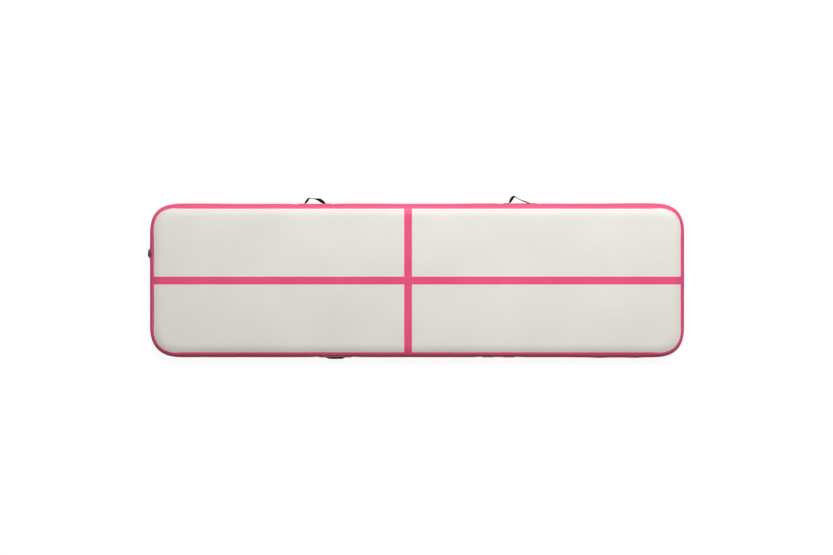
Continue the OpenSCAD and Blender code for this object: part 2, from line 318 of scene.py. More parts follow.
def noise(node, place, scale, detail=3.0, roughness=0.5):
    texture = node("TexNoise")
    sockets = texture.node.inputs
    place.id_data.links.new(place, sockets["Vector"])
    sockets["Scale"].default_value = scale
    sockets["Detail"].default_value = detail
    sockets["Roughness"].default_value = roughness
    return texture.node.outputs[0]


def remap(node, value, low, high, from_low=0.3, from_high=0.7):
    """value's range onto low to high, clamped."""
    return node("MapRange", value, from_low, from_high, low, high)


def tinted(node, link, colour, value, change):
    """Links the base colour, darker to lighter by change as value goes from 0.3 to 0.7."""
    factor = remap(node, value, 1 - change, 1 + change)
    mixed = node("VectorMath", tuple(colour), operation="SCALE")
    mixed.node.inputs["Scale"].default_value = 1
    mixed.id_data.links.new(factor, mixed.node.inputs["Scale"])
    link(mixed, "Base Color")


def bumped(node, link, height, distance, strength=1.0, under=None):
    bump = node("Bump")
    sockets = bump.node.inputs
    sockets["Strength"].default_value = strength
    sockets["Distance"].default_value = distance
    bump.id_data.links.new(height, sockets["Height"])
    if under is not None:
        bump.id_data.links.new(under, sockets["Normal"])
    link(bump, "Normal")
    return bump


def weave_axes(node):
    """The sheet's own two directions, in metres, from its UV map."""
    uv = node("UVMap", uv_map="weave")
    parts = node("SeparateXYZ", uv)
    return parts.node.outputs[0], parts.node.outputs[1]


def coated_fabric(name, colour, roughness, thread, change, scuff):
    """PVC-coated fabric: the base cloth's weave shows faintly through, with soft mottling and scuffs."""
    material, node, link = new_material(name, colour, roughness, IOR=1.5, Specular_IOR_Level=0.35,
                                        Coat_Weight=0.03, Coat_Roughness=0.5)
    place = position(node)
    along, across = weave_axes(node)
    turns = 2 * math.pi / thread
    waves = [math_node(node, "SINE", math_node(node, "MULTIPLY", axis, turns)) for axis in (along, across)]
    weave = math_node(node, "MULTIPLY", *waves)
    grain = noise(node, place, 420, 2.0)
    cloudy = noise(node, place, 2.6, 4.0, 0.55)
    marks = remap(node, noise(node, place, 17, 6.0, 0.62), 0.0, 1.0, 0.60, 0.72)
    shade = math_node(node, "SUBTRACT", cloudy, math_node(node, "MULTIPLY", marks, scuff))
    tinted(node, link, colour, shade, change)
    polish = math_node(node, "ADD", remap(node, cloudy, roughness - 0.05, roughness + 0.05),
                       math_node(node, "MULTIPLY", marks, 0.10))
    link(polish, "Roughness")
    crumple = bumped(node, link, noise(node, place, 9, 3.0), 0.0006, 0.35)
    fine = bumped(node, link, weave, 0.00005, 0.7, crumple)
    bumped(node, link, grain, 0.00004, 0.6, fine)
    return material


def webbing(name, colour):
    """Woven strap: rows of warp ribs, each a chain of slanted picks. Its colour is darker in the grooves and lighter on
    the rib crowns, which is painted shade and painted highlight, with random fibre tone on top.
    """
    material, node, link = new_material(name, colour, 0.80, Sheen_Weight=0.02, Sheen_Roughness=0.45,
                                        Specular_IOR_Level=0.22)
    along, across = weave_axes(node)
    rib, pick = 0.00165, 0.0023  # metres
    row = math_node(node, "DIVIDE", across, rib)
    index = math_node(node, "FLOOR", row)

    def arched(value):
        return math_node(node, "SINE", math_node(node, "MULTIPLY", math_node(node, "FRACT", value), math.pi))

    arch = arched(row)
    lean = math_node(node, "MULTIPLY", math_node(node, "FRACT", row), 0.45)
    step = math_node(node, "MULTIPLY", math_node(node, "MODULO", index, 2.0), 0.5)
    chain = math_node(node, "ADD", math_node(node, "DIVIDE", along, pick), math_node(node, "ADD", lean, step))
    bead = math_node(node, "ADD", math_node(node, "MULTIPLY", arched(chain), 0.6), 0.4)
    height = math_node(node, "MULTIPLY", arch, bead)
    fibres = noise(node, position(node), 1400, 2.0)
    rough = math_node(node, "ADD", height, math_node(node, "MULTIPLY", fibres, 0.5))
    # The colour follows the weave's height: painted shade in the grooves between ribs and a painted highlight on their
    # crowns, plus random fibre tone
    shade = math_node(node, "ADD", math_node(node, "MULTIPLY", rough, 0.35), 0.15)
    tinted(node, link, colour, shade, 0.45)
    link(remap(node, height, 0.88, 0.66), "Roughness")
    bumped(node, link, rough, 0.0004, 0.9)
    return material


def moulded(name, colour, roughness, grain_scale, grain_depth, **settings):
    """Moulded plastic or rubber: a fine spark-eroded grain, flow mottling and dulled patches."""
    material, node, link = new_material(name, colour, roughness, **settings)
    place = position(node)
    cloudy = noise(node, place, 60, 4.0)
    tinted(node, link, colour, cloudy, 0.10)
    link(remap(node, cloudy, roughness - 0.06, roughness + 0.08), "Roughness")
    bumped(node, link, noise(node, place, grain_scale, 2.0), grain_depth, 0.8)
    return material


def brushed_metal(name, colour):
    material, node, link = new_material(name, colour, 0.3, Metallic=1.0, Anisotropic=0.4)
    place = position(node)
    drawn = node("Mapping", place)
    drawn.node.inputs["Scale"].default_value = (1, 40, 40)
    lines = noise(node, drawn, 90, 2.0)
    tinted(node, link, colour, lines, 0.08)
    link(remap(node, lines, 0.24, 0.42), "Roughness")
    bumped(node, link, lines, 0.00003, 0.6)
    return material


def twisted_yarn(name, colour):
    material, node, link = new_material(name, colour, 0.85, Sheen_Weight=0.2)
    place = position(node)
    height = node("SeparateXYZ", place)
    ply = math_node(node, "SINE", math_node(node, "MULTIPLY", height.node.outputs[2], 2400))
    tinted(node, link, colour, noise(node, place, 500, 3.0), 0.12)
    bumped(node, link, ply, 0.0001, 0.7)
    return material


MATERIALS = {
    "ivory_pvc": coated_fabric("ivory coated fabric", IVORY, 0.56, 0.0013, 0.030, 0.10),
    "pink_pvc": coated_fabric("pink coated fabric", PINK, 0.48, 0.0011, 0.060, 0.12),
    "black_webbing": webbing("black webbing", BLACK),
    "grey_plastic": moulded("grey moulded plastic", GREY, 0.46, 2600, 0.00004, Specular_IOR_Level=0.45),
    "black_rubber": moulded("black rubber", BLACK, 0.72, 1500, 0.00005),
    "steel": brushed_metal("drawn steel", (0.62, 0.62, 0.63)),
    "white_yarn": twisted_yarn("white yarn", (0.80, 0.80, 0.77)),
}
SLOT_OF = {part["node"]: part["material_slot"] for part in frame["record"]["subparts"]}


# ---- Shapes shared by the layers ----

def smooth(t):
    t = np.clip(t, 0, 1)
    return t * t * (3 - 2 * t)


def section(angle, offset):
    """A point of the side's section: how far out from the flat face's edge, and how high. angle is the
    outward normal's height above the horizontal, and offset the distance outside the sheets."""
    steep = np.abs(angle)
    on_side = steep <= math.pi / 2 - SLOPE
    out = np.where(on_side, SHOULDER_W - SIDE_R + (SIDE_R + offset) * np.cos(steep),
                   (SHOULDER_R + offset) * np.cos(steep))
    rise = np.where(on_side, (SIDE_R + offset) * np.sin(steep),
                    MIDDLE - SHOULDER_R + (SHOULDER_R + offset) * np.sin(steep))
    return out, MIDDLE + np.sign(angle) * rise


def section_length(angle, offset=0.0):
    """The way along the section from the middle height to angle."""
    turn = math.pi / 2 - SLOPE
    return (SIDE_R + offset) * np.minimum(angle, turn) + (SHOULDER_R + offset) * np.maximum(angle - turn, 0)


def corner_curve(power, steps):
    """Evenly spaced points of a quarter superellipse of size 1, and their outward normals."""
    t = np.linspace(0, math.pi / 2, 1441)
    fine = np.stack([np.cos(t), np.sin(t)], -1) ** (2 / power)
    way = np.concatenate([[0], np.cumsum(np.linalg.norm(np.diff(fine, axis=0), axis=1))])
    t = np.interp(np.linspace(0, way[-1], steps + 1), way, t)
    curve = np.stack([np.cos(t), np.sin(t)], -1) ** (2 / power)
    curve[0], curve[-1] = (1, 0), (0, 1)
    normal = curve ** (power - 1)
    return curve, normal / np.linalg.norm(normal, axis=1)[:, None]


def rounded_outline(half_x, half_y, corner, powers, run_step, corner_steps):
    """Points and outward normals of a rounded rectangle, anticlockwise from its right side. powers holds
    how square each corner is, in that order: 2 is a circle."""
    corners = []
    for (sx, sy, backwards), power in zip(((1, 1, 0), (-1, 1, 1), (-1, -1, 0), (1, -1, 1)), powers):
        curve, normal = corner_curve(power, corner_steps)
        sign = np.array([sx, sy])
        points = sign * (np.array([half_x, half_y]) - corner + corner * curve)
        normals = sign * normal
        corners.append((points[::-1], normals[::-1]) if backwards else (points, normals))
    points, normals = [], []
    for (here, here_n), (there, _) in zip(corners, corners[1:] + corners[:1]):
        points.append(here)
        normals.append(here_n)
        run = there[0] - here[-1]
        count = max(1, math.ceil(np.linalg.norm(run) / run_step))
        share = (np.arange(1, count) / count)[:, None]
        points.append(here[-1] + share * run)
        normals.append(np.repeat(here_n[-1:], count - 1, axis=0))
    return np.concatenate(points), np.concatenate(normals)


def way_round(points):
    """The distance round a closed outline at each point, and its whole length at the end."""
    steps = np.linalg.norm(np.roll(points, -1, axis=0) - points, axis=1)
    return np.concatenate([[0], np.cumsum(steps)])


def outline_area(points):
    x, y = points[:, 0], points[:, 1]
    return abs(float(np.sum(x * np.roll(y, -1) - y * np.roll(x, -1)))) / 2


def corner_turn(x, y):
    """How far the outline has turned at x, y: 0 on the ends, and a quarter turn on the long sides."""
    px, py = np.abs(x) - (HALF_LENGTH - CORNER), np.abs(y) - (HALF_WIDTH - CORNER)
    return np.arctan2(np.maximum(py, 1e-9), np.maximum(px, 1e-9))


def corner_share(turn):
    """0 on the straight runs and 1 well inside a corner."""
    return smooth(np.minimum(turn, math.pi / 2 - turn) / 0.4)


def band_edge(x, y):
    """The angle where the band's edge lies: it slips down at the corners, and lies low on the right end."""
    turn = corner_turn(x, y)
    end = np.where(x > 0, RIGHT_END_EDGE, LEFT_END_EDGE)
    return end + (LONG_SIDE_EDGE - end) * smooth(turn / (math.pi / 2)) - CORNER_SLIP * corner_share(turn)


def on_side(y, side):
    """1 on the long side whose sign is side, and 0 from the mat's middle line on."""
    return smooth((side * y - 0.2) / 0.2)


def dent(along):
    """How deep the shell is drawn in under a handle: evenly under its patch, and more under the covers over
    its strap ends, so that they lie flush. along is the distance from the handle's middle."""
    far = np.abs(along)
    cover = smooth((far - 0.040) / 0.026) * (1 - smooth((far - 0.114) / 0.030))
    return DENT * (1 - smooth((far - 0.11) / 0.08)) + COVER_DENT * cover


def relief(x, y, angle):
    """How far the inflated side stands proud of its plain section, at the outline's point x, y: puckers
    where the band is bent round the corners, long soft waves along the runs, swells between the
    handles, and dents under their stiff patches."""
    steep = np.abs(angle)
    turn = corner_turn(x, y)
    phase = 1.7 * np.sign(x) + 0.9 * np.sign(y) + 0.8 * np.sign(angle)
    puckers = np.sin(54 * turn + phase + 1.3 * np.sin(7 * turn + phase))
    puckers = puckers * (0.65 + 0.35 * np.sin(11 * turn + 2 * phase))
    near_edge = 0.15 + 0.85 * smooth((steep - 0.35) / 0.7)
    fading = 1 - smooth((steep - 1.12) / 0.40)
    waves = (0.6 * np.sin(19.3 * x + 1.1 * np.sin(4.1 * x)) + 0.4 * np.sin(31 * y + 0.6)
             + 0.25 * np.sin(47 * x + 1.9))
    calm = 1 - np.exp(-((x + HALF_LENGTH) ** 2 + (y - VALVE_Y) ** 2) / 0.1 ** 2)
    bulge = 0.0
    for at, side, reach, size in SWELLS:
        bulge = bulge + size * np.exp(-((x - at) / reach) ** 2) * on_side(y, side)
    for at, side in HANDLES.values():
        bulge = bulge - dent(x - at) * on_side(y, side)
    return (PUCKER * puckers * corner_share(turn) * near_edge * fading
            + WAVE * waves * calm * (1 - smooth(steep / 1.45)) + bulge * (1 - smooth((steep - 0.35) / 0.8)))


def on_top(angle):
    """0 on the shoulder and 1 on the flat top."""
    return smooth((angle - TOP_STARTS) / (math.pi / 2 - TOP_STARTS))


def face_wave(x, y):
    """Faint unevenness of the top, which the yarns hold level only row by row."""
    return (0.0005 * np.sin(8.3 * x + 1.3 * np.sin(4.7 * y) + 0.4) + 0.0004 * np.sin(12.9 * x - 9.1 * y + 1.1)
            + 0.0003 * np.sin(17.9 * y + 2.1 * np.sin(3.9 * x)))


def mark_sharp_edges(work, sharp):
    """Smooth shading everywhere, but for edges that turn by more than sharp degrees."""
    for face in work.faces:
        face.smooth = True
    for edge in work.edges:
        edge.smooth = len(edge.link_faces) != 2 or edge.calc_face_angle() <= math.radians(sharp)


def make(name, points, faces, corner_uvs, slot, body="mat", merge=False, sharp=CLOTH_CREASE):
    """A smooth-shaded mesh object whose UV map is in metres of cloth, riding on body."""
    mesh = bpy.data.meshes.new(name)
    mesh.from_pydata(np.asarray(points).reshape(-1, 3).tolist(), [], np.asarray(faces).tolist())
    layer = mesh.uv_layers.new(name="weave")
    layer.data.foreach_set("uv", np.asarray(corner_uvs, np.float32).ravel())
    work = bmesh.new()
    work.from_mesh(mesh)
    if merge:
        bmesh.ops.remove_doubles(work, verts=work.verts, dist=1e-6)
    bmesh.ops.recalc_face_normals(work, faces=work.faces)
    mark_sharp_edges(work, sharp)
    work.to_mesh(mesh)
    work.free()
    mesh.materials.append(MATERIALS[slot])
    piece = bpy.data.objects.new(name, mesh)
    bpy.context.scene.collection.objects.link(piece)
    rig.slot(piece, slot)
    if body:
        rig.ride(piece, body)
    return piece


def thin_solid(outer, inner, uv, wrap, closed_end=True):
    """A sheet with real thickness between two grids of points: points, faces and each face corner's UV. A
    wrapped grid joins its last column to its first; closed_end rims its last row."""
    rows, columns = outer.shape[:2]
    spans = columns if wrap else columns - 1
    r, c = (g.ravel() for g in np.meshgrid(np.arange(rows - 1), np.arange(spans), indexing="ij"))
    side = rows * columns
    faces, uvs = [], []

    def add(corners):
        numbers = [layer * side + row * columns + column % columns for layer, row, column in corners]
        faces.append(np.stack(numbers, -1))
        uvs.append(np.stack([uv[row, column] for _, row, column in corners], 1))

    add([(0, r, c), (0, r, c + 1), (0, r + 1, c + 1), (0, r + 1, c)])
    add([(1, r, c), (1, r + 1, c), (1, r + 1, c + 1), (1, r, c + 1)])
    c = np.arange(spans)
    for row in [0, rows - 1] if closed_end else [0]:
        edge = np.full(spans, row)
        add([(0, edge, c), (0, edge, c + 1), (1, edge, c + 1), (1, edge, c)])
    if not wrap:
        r = np.arange(rows - 1)
        for column in (0, columns - 1):
            edge = np.full(rows - 1, column)
            add([(0, r, edge), (0, r + 1, edge), (1, r + 1, edge), (1, r, edge)])
    points = np.concatenate([outer.reshape(-1, 3), inner.reshape(-1, 3)])
    return points, np.concatenate(faces), np.concatenate(uvs)


def joined(*solids):
    """Several point, face and UV sets as one."""
    points, faces, uvs, count = [], [], [], 0
    for p, f, u in solids:
        points.append(p)
        faces.append(f + count)
        uvs.append(u)
        count += len(p)
    return np.concatenate(points), np.concatenate(faces), np.concatenate(uvs)


# ---- The inflated shell ----

EDGE, EDGE_N = rounded_outline(HALF_LENGTH, HALF_WIDTH, CORNER, CORNER_POWERS, 0.016, 110)
ROUND = way_round(EDGE)


def spread(values):
    """One value for each row, or for each row and outline point, as a whole grid."""
    values = np.asarray(values, float)
    return np.broadcast_to(values.reshape(len(values), -1), (len(values), len(EDGE)))


def round_the_mat(angles, offsets):
    """Points of one surface that runs round the mat."""
    angle = spread(angles)
    proud = relief(EDGE[:, 0], EDGE[:, 1], angle)
    out, up = section(angle, spread(offsets) + proud)
    plan = EDGE + EDGE_N * (out - SHOULDER_W - SKIN)[..., None]
    return np.concatenate([plan, up[..., None]], -1)


def cut_valve_hole(piece):
    """Cuts the valve's round hole, which runs along X, through the left end of a strip."""
    work = bmesh.new()
    place = Matrix.Translation((-HALF_LENGTH, VALVE_Y, MIDDLE)) @ Matrix.Rotation(math.pi / 2, 4, "Y")
    bmesh.ops.create_cone(work, cap_ends=True, segments=HOLE_SIDES, radius1=VALVE_HOLE_R,
                          radius2=VALVE_HOLE_R, depth=HOLE_DEPTH, matrix=place)
    mesh = bpy.data.meshes.new("valve_hole_cutter")
    work.to_mesh(mesh)
    work.free()
    cutter = bpy.data.objects.new("valve_hole_cutter", mesh)
    bpy.context.scene.collection.objects.link(cutter)
    cut = piece.modifiers.new("valve_hole", "BOOLEAN")
    cut.operation, cut.solver, cut.object = "DIFFERENCE", "EXACT", cutter
    graph = bpy.context.evaluated_depsgraph_get()
    made = bpy.data.meshes.new_from_object(piece.evaluated_get(graph), preserve_all_data_layers=True,
                                           depsgraph=graph)
    piece.modifiers.remove(cut)
    bpy.data.objects.remove(cutter)
    bpy.data.meshes.remove(mesh)
    piece.data = made
    work = bmesh.new()
    work.from_mesh(made)
    mark_sharp_edges(work, CLOTH_CREASE)
    work.to_mesh(made)
    work.free()


def strip_round_the_mat(name, angles, inside, outside, slot, node):
    """A closed strip round the mat's edge, such as the wall or the band, and its mean height."""
    angles = spread(angles)
    heights = np.sign(angles) * section_length(np.abs(angles), inside.mean())
    uv = np.stack(np.broadcast_arrays(ROUND, np.concatenate([heights, heights[:, :1]], 1)), -1)
    solid = thin_solid(round_the_mat(angles, outside), round_the_mat(angles, inside), uv, wrap=True)
    piece = make(name, *solid, slot)
    cut_valve_hole(piece)
    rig.replaces(piece, node)
    return piece, float((heights[-1] - heights[0]).mean())


def face_sheet(name, node, top):
    """The top or bottom sheet, from its edge under the wall to the middle."""
    angles = np.linspace(SHEET_EDGE, math.pi / 2, 15)
    flat_rows = 14
    middle_x = FLAT_X - FLAT_Y
    edge = EDGE - EDGE_N * (SHOULDER_W + SKIN)
    middle = np.stack([np.clip(edge[:, 0], -middle_x, middle_x), 0 * edge[:, 0]], -1)
    share = (np.arange(1, flat_rows + 1) / flat_rows)[:, None, None]
    flat = edge + share * (middle - edge)
    surfaces = []
    for offset in (0.0, -SHEET_T):
        slope = round_the_mat(angles, np.full(len(angles), offset))
        level = np.concatenate([flat, np.full(flat.shape[:2] + (1,), HEIGHT + offset)], -1)
        points = np.concatenate([slope, level])
        if top:
            weight = np.concatenate([on_top(angles), np.ones(flat_rows)])
            points[..., 2] += face_wave(points[..., 0], points[..., 1]) * weight[:, None]
        else:
            points[..., 2] = HEIGHT - points[..., 2]
        surfaces.append(points)
    reach = section_length(math.pi / 2) - section_length(angles)
    cloth = np.concatenate([edge + EDGE_N * reach[:, None, None], flat])
    uv = np.concatenate([cloth, cloth[:, :1]], 1)
    piece = make(name, *thin_solid(*surfaces, uv, wrap=True, closed_end=False), "ivory_pvc", merge=True)
    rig.replaces(piece, node)
    size = cloth[0].max(0) - cloth[0].min(0)
    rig.sheet(piece, flat=(float(size[1]), float(size[0])), held="stretched", area=outline_area(cloth[0]))
    return piece


top_face = face_sheet("pvc_top_face", "top_sheet", True)
face_sheet("pvc_bottom_face", "bottom_sheet", False)

wall_angles = np.linspace(-WALL_EDGE, WALL_EDGE, 29)
wall_rows = np.ones(len(wall_angles))
side_wall, wall_height = strip_round_the_mat("pvc_side_wall", wall_angles, GLUE * wall_rows,
                                             (GLUE + WALL_T) * wall_rows, "ivory_pvc", "inner_wall")
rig.sheet(side_wall, flat=(wall_height, float(ROUND[-1])), held="stretched")

# The band lies on the wall, and beyond the wall's edges it steps down onto the sheets
close_rows = np.linspace(BAND_STEP, BAND_EDGE, 8)
band_rows = np.concatenate([-close_rows[::-1], np.linspace(-BAND_BODY, BAND_BODY, 33), close_rows])[:, None]
reach = (band_edge(EDGE[:, 0], EDGE[:, 1]) - BAND_BODY) / (BAND_EDGE - BAND_BODY)
past_body = np.maximum(np.abs(band_rows) - BAND_BODY, 0)
band_angles = np.sign(band_rows) * (np.minimum(np.abs(band_rows), BAND_BODY) + past_body * reach)
step_down = smooth((np.abs(band_angles) - WALL_EDGE) / STEP_TURN)
band_inside = (SKIN - WALL_T) - (SKIN - WALL_T - GLUE) * step_down
side_band, band_height = strip_round_the_mat("pvc_side_band", band_angles, band_inside, band_inside + WALL_T,
                                             "pink_pvc", "outer_band")
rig.sheet(side_band, flat=(band_height, float(ROUND[-1])), held="stretched", rests_on=[side_wall])


TAPE_SPACING = 0.024
STEP_ROWS = np.array([0.0, 0.001, 0.002, 0.003, 0.004])


def line_tape(name, node, half_flat, half_edge, along_x, centre, lift):
    """A tape across the whole top, down to the band at both ends. lift carries it over the other tape."""
    ends = [(sign * half_edge, centre) if along_x else (centre, sign * half_edge) for sign in (-1, 1)]
    slopes = [np.linspace(float(band_edge(*end)) + TAPE_GAP, math.pi / 2, 10) for end in ends]
    level = np.linspace(-half_flat, half_flat, 2 * math.ceil(half_flat / TAPE_SPACING) + 1)[1:-1]
    if lift:
        near = TAPE_WIDTH / 2 + STEP_ROWS
        level = np.unique(np.concatenate([level, near, -near]))
    across = np.linspace(-TAPE_WIDTH / 2, TAPE_WIDTH / 2, 7)[:, None]
    surfaces = []
    for offset in (GLUE + TAPE_T, GLUE):
        parts = []
        for sign, slope in zip((-1, 1), slopes):
            edge = (sign * half_edge, centre + across) if along_x else (centre + across, sign * half_edge)
            proud = relief(*np.broadcast_arrays(*edge, slope)[:2], slope)
            out, up = section(slope, offset + proud)
            parts.append(np.stack([sign * (half_flat + out), up], -1))
        flat = np.stack(np.broadcast_arrays(level, HEIGHT + offset + 0 * across), -1)
        line = np.concatenate([parts[0], flat, parts[1][:, ::-1]], 1)
        side = np.broadcast_to(centre + across, line.shape[:2])
        plan = (line[..., 0], side) if along_x else (side, line[..., 0])
        steep = np.concatenate([slopes[0], np.full(len(level), math.pi / 2), slopes[1][::-1]])
        up = line[..., 1] + face_wave(*plan) * on_top(steep)
        up = up + lift * (1 - smooth((np.abs(line[..., 0]) - TAPE_WIDTH / 2 - 0.0005) / 0.003))
        surfaces.append(np.stack([*plan, up], -1))
    steps = np.linalg.norm(np.diff(surfaces[1][3], axis=0), axis=1)
    way = np.concatenate([[0], np.cumsum(steps)])
    uv = np.stack(np.broadcast_arrays(way, across), -1)
    piece = make(name, *thin_solid(*surfaces, uv, wrap=False), "pink_pvc")
    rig.replaces(piece, node)
    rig.sheet(piece, flat=(TAPE_WIDTH, float(way[-1])), held="laid", rests_on=[top_face])


line_tape("pvc_line_tape_long", "stripe_length", FLAT_X, HALF_LENGTH, True, 0.0, 0.0)
line_tape("pvc_line_tape_cross", "stripe_cross", FLAT_Y, HALF_WIDTH, False, CROSS_TAPE_X, TAPE_T + GLUE)


# ---- Patches on the bulge ----

def on_long_side(x0, side):
    def place(a, out, up):
        return np.stack(np.broadcast_arrays(x0 + a, side * (FLAT_Y + out), up), -1)
    return place


def on_left_end(y0):
    def place(a, out, up):
        return np.stack(np.broadcast_arrays(-(FLAT_X + out), y0 + a, up), -1)
    return place


def on_bulge(place, a, b, offset):
    """Points on the side's bulge: a along it, b round it from the middle height, offset off the sheets."""
    angle = b / (SIDE_R + PATCH_OUT)
    edge = place(a, SHOULDER_W + SKIN, MIDDLE)
    out, up = section(angle, offset + relief(edge[..., 0], edge[..., 1], angle))
    return place(a, out, up)


def patch_rings(length, height, corner, hole=0.0):
    """A rounded patch as rings from its edge inwards, to its middle line or round a hole, and each ring's
    distance from the edge."""
    insets = np.array([0, 0.0004, 0.001, 0.0025, 0.004, 0.005, 0.006, 0.007, 0.0085])
    inner_rings, inner_depth = 11, 0.02
    outline, normals = rounded_outline(length / 2, height / 2, corner, (2.0,) * 4, 0.006, 14)
    rings = outline - normals * insets[:, None, None]
    last = rings[-1]
    if hole:
        target = hole * last / np.linalg.norm(last, axis=1)[:, None]
    else:
        half = max(length - height, 0) / 2
        target = np.stack([np.clip(last[:, 0], -half, half), 0 * last[:, 0]], -1)
    share = np.linspace(0, 1, inner_rings + 1)[1:, None, None]
    rings = np.concatenate([rings, last + share * (target - last)])
    depth = np.concatenate([insets, np.full(inner_rings, inner_depth)])
    return rings, depth, outline


def patch_face(depth, thickness):
    """The height of a welded patch's outside over its underside: a rolled edge and a weld line."""
    rolled = 0.45 + 0.55 * smooth(depth / 0.001)
    weld = 0.00016 * np.exp(-((depth - 0.0055) / 0.0009) ** 2)
    return thickness * rolled - weld


def side_patch(name, place, length, height, corner, node, hole=0.0):
    rings, depth, outline = patch_rings(length, height, corner, hole)
    a, b = rings[..., 0], rings[..., 1]
    outer = on_bulge(place, a, b, PATCH_IN + patch_face(depth, PATCH_T)[:, None])
    inner = on_bulge(place, a, b, PATCH_IN)
    uv = np.concatenate([rings, rings[:, :1]], 1)
    solid = thin_solid(outer, inner, uv, wrap=True, closed_end=bool(hole))
    piece = make(name, *solid, "pink_pvc", merge=True)
    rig.replaces(piece, node)
    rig.sheet(piece, flat=(height, length), held="stretched", rests_on=[side_band],
             area=outline_area(outline) - math.pi * hole ** 2)
    return piece


def way_over_bulge(degrees):
    """The height on the cloth of a patch that reaches degrees above and below the middle height."""
    return 2 * math.radians(degrees) * (SIDE_R + PATCH_OUT)


PATCH_LENGTH = 0.230
PATCH_HEIGHT = way_over_bulge(62)
PATCH_CORNER = 0.024
COVER_LENGTH = 0.042
COVER_HEIGHT = way_over_bulge(40)
COVER_CORNER = 0.010
COVER_START = 0.070
STRAP_IN_COVER = 0.032
VALVE_PATCH_LENGTH = 0.112
VALVE_PATCH_HEIGHT = way_over_bulge(58)
VALVE_PATCH_CORNER = 0.026
STITCH_PITCH = 0.0034
STITCH_LENGTH = 0.0026
STITCH_R = 0.00032
STITCH_SINK = 0.00008
SEAM_FROM_SELVEDGE = 0.0028
SEAM_FROM_END = 0.004


def cover_over_strap(place, sign):
    """A patch over one sewn strap end, with its mouth towards the loop."""
    rings, depth, outline = patch_rings(COVER_LENGTH, COVER_HEIGHT, COVER_CORNER)
    a, b = rings[..., 0], rings[..., 1]
    over_end = 1 - smooth((a + COVER_LENGTH / 2 - STRAP_IN_COVER) / 0.005)
    over_width = 1 - smooth((np.abs(b) - STRAP_WIDTH / 2 - 0.0004) / 0.004)
    raised = (STRAP_T + GLUE) * over_end * over_width
    base = PATCH_OUT + GLUE + raised
    at = sign * (COVER_START + COVER_LENGTH / 2 + a)
    outer = on_bulge(place, at, b, base + patch_face(depth, PATCH_T)[:, None])
    inner = on_bulge(place, at, b, base)
    uv = np.concatenate([rings, rings[:, :1]], 1)
    return thin_solid(outer, inner, uv, wrap=True, closed_end=False), outline_area(outline)


def stitch_line(start, end):
    """The middles and the direction of the stitches along one seam of the cover."""
    start, run = np.array(start), np.array(end) - np.array(start)
    length = np.linalg.norm(run)
    count = max(1, round(float(length) / STITCH_PITCH))
    share = (np.arange(count) + 0.5) / count
    return start + share[:, None] * run, run / length


def ring_quads(rows, columns):
    """The quads between rows of rings, and the row and column of their four corners. The column after the
    last one stands for the first."""
    r, c = (g.ravel() for g in np.meshgrid(np.arange(rows - 1), np.arange(columns), indexing="ij"))
    corners = ((r, c), (r, c + 1), (r + 1, c + 1), (r + 1, c))
    return np.stack([row * columns + column % columns for row, column in corners], -1), corners


def stitches(place, sign):
    """A box with a cross in it, sewn through the cover and the strap end: each stitch is a small bead."""
    half = STRAP_WIDTH / 2 - SEAM_FROM_SELVEDGE
    low, high = SEAM_FROM_END, STRAP_IN_COVER - SEAM_FROM_END
    box = [(low, -half), (high, -half), (high, half), (low, half)]
    seams = list(zip(box, box[1:] + box[:1])) + [(box[0], box[2]), (box[1], box[3])]
    sides = 6
    t = np.array([-1, -0.72, 0.0, 0.72, 1.0])[:, None]
    turn = np.arange(sides)[None, :] * 2 * math.pi / sides
    swell = STITCH_R * np.sqrt(1 - 0.92 * t ** 2)
    quads, _ = ring_quads(len(t), sides)
    beads = []
    for start, end in seams:
        middles, way = stitch_line(start, end)
        across = np.array([-way[1], way[0]])
        for middle in middles:
            flat = middle + t[..., None] * way * STITCH_LENGTH / 2
            flat = flat + (swell * np.cos(turn))[..., None] * across
            over = PATCH_OUT + GLUE + STRAP_T + GLUE + PATCH_T - STITCH_SINK + swell * np.sin(turn)
            points = on_bulge(place, sign * (COVER_START + flat[..., 0]), flat[..., 1], over)
            beads.append((points.reshape(-1, 3), quads, np.broadcast_to(flat[0, 0], (len(quads), 4, 2))))
    return joined(*beads)


# ---- Webbing handles ----

def smooth_path(knots, count):
    """count points, evenly spaced along a smooth curve through the knots' first three numbers, with the
    other numbers carried along."""
    knots = np.array(knots, float)
    ghost = np.concatenate([[2 * knots[0] - knots[1]], knots, [2 * knots[-1] - knots[-2]]])
    t = np.linspace(0, 1, 25)[:-1, None]
    parts = []
    for p0, p1, p2, p3 in zip(ghost, ghost[1:], ghost[2:], ghost[3:]):
        parts.append(0.5 * (2 * p1 + (p2 - p0) * t + (2 * p0 - 5 * p1 + 4 * p2 - p3) * t ** 2
                            + (3 * p1 - p0 - 3 * p2 + p3) * t ** 3))
    fine = np.concatenate(parts + [knots[-1:]])
    way = np.concatenate([[0], np.cumsum(np.linalg.norm(np.diff(fine[:, :3], axis=0), axis=1))])
    even = np.linspace(0, way[-1], count)
    return np.stack([np.interp(even, way, fine[:, k]) for k in range(fine.shape[1])], -1), even


def strap_outline():
    """The webbing's cross-section: nearly flat faces and rounded selvedges, as (across, out) pairs."""
    half, t = STRAP_WIDTH / 2, STRAP_T / 2
    edge = [(half - t * (1 - math.cos(a)), t * math.sin(a)) for a in np.radians([-70, -35, 0, 35, 70])]
    flat = np.linspace(half - t, -(half - t), 13)
    upper = [(w, t * (0.97 + 0.03 * math.cos(w * math.pi / half))) for w in flat]
    left = [(-w, h) for w, h in edge[::-1]]
    lower = [(w, -h) for w, h in upper[::-1]]
    return np.array(edge + upper + left + lower)


END_UV_STEP = 0.0008


